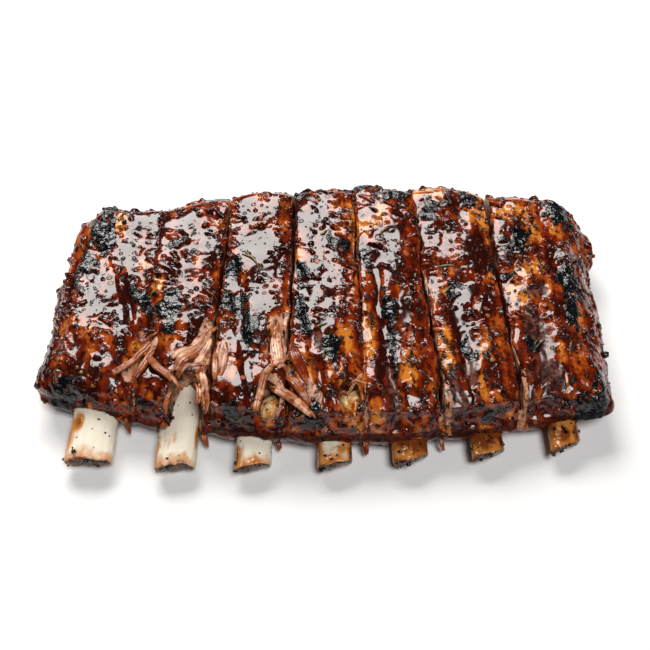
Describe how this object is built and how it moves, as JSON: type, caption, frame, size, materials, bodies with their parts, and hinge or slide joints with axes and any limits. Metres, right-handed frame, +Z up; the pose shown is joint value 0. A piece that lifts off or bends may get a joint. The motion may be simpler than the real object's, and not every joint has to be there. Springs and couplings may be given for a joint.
{
  "type": "rack of ribs",
  "caption": "Roast rack of pork ribs lying on its bone side, glazed and charred, scored between the ribs, with bare bone ends along one edge.",
  "frame": {"origin": "bottom centre of the rack's box, on the surface it lies on", "axes": "+X along the rack from the widest bone to the narrowest, +Y towards the thick loin edge, +Z up; the bare bone ends point to -Y"},
  "size_m": [0.222, 0.135, 0.0306],
  "materials": {
    "glazed_meat": "roast meat under a glossy dark red-brown glaze with char spots",
    "rib_bone": "smooth cream bone, browned at the sawn end"
  },
  "bodies": {
    "root": {"rib_meat": "glazed_meat", "rib_bone_1": "rib_bone", "rib_bone_2": "rib_bone", "rib_bone_3": "rib_bone", "rib_bone_4": "rib_bone", "rib_bone_5": "rib_bone", "rib_bone_6": "rib_bone", "rib_bone_7": "rib_bone"}
  },
  "joints": []
}
